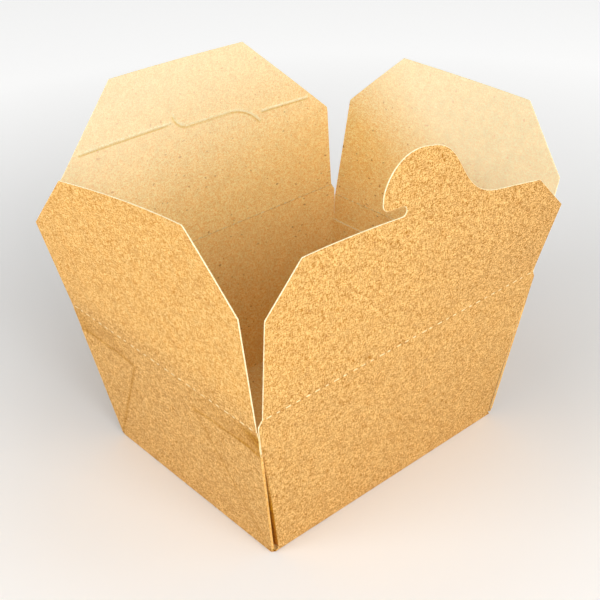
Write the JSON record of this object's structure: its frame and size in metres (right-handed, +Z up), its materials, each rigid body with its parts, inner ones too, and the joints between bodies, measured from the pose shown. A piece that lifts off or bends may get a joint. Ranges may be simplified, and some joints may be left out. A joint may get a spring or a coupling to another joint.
{
  "type": "takeaway box",
  "caption": "Folded kraft board takeaway box with outward-leaning walls, folded corner webs, dust flaps, a slit lid flap and a hooked tongue lid flap, standing open.",
  "frame": {"origin": "centre of the base's underside, on the surface the box stands on", "axes": "+X along the long walls, +Y from the tongue flap towards the slit flap, +Z up"},
  "size_m": [0.1524, 0.1237, 0.1316],
  "materials": {
    "kraft_board": "matt uncoated kraft board with visible fibre"
  },
  "bodies": {
    "carton_body": {"carton": "kraft_board"},
    "tongue_lid": {"tongue_flap": "kraft_board"},
    "slit_lid": {"slit_flap": "kraft_board"},
    "left_dust_lid": {"left_dust_flap": "kraft_board"},
    "right_dust_lid": {"right_dust_flap": "kraft_board"}
  },
  "joints": [
    {"name": "tongue_flap_crease", "type": "hinge", "parent": "carton_body", "child": "tongue_lid", "pos_m": [0, -0.05264, 0.06353], "axis": [-1, 0, 0], "range_deg": [-104, 94.8]},
    {"name": "slit_flap_crease", "type": "hinge", "parent": "carton_body", "child": "slit_lid", "pos_m": [0, 0.05264, 0.06353], "axis": [1, 0, 0], "range_deg": [-100.5, 99.8]},
    {"name": "left_dust_flap_crease", "type": "hinge", "parent": "carton_body", "child": "left_dust_lid", "pos_m": [-0.06409, 0, 0.05903], "axis": [0, 1, 0], "range_deg": [-102.5, 97.5]},
    {"name": "right_dust_flap_crease", "type": "hinge", "parent": "carton_body", "child": "right_dust_lid", "pos_m": [0.06409, 0, 0.05903], "axis": [0, -1, 0], "range_deg": [-94.5, 105.5]}
  ]
}
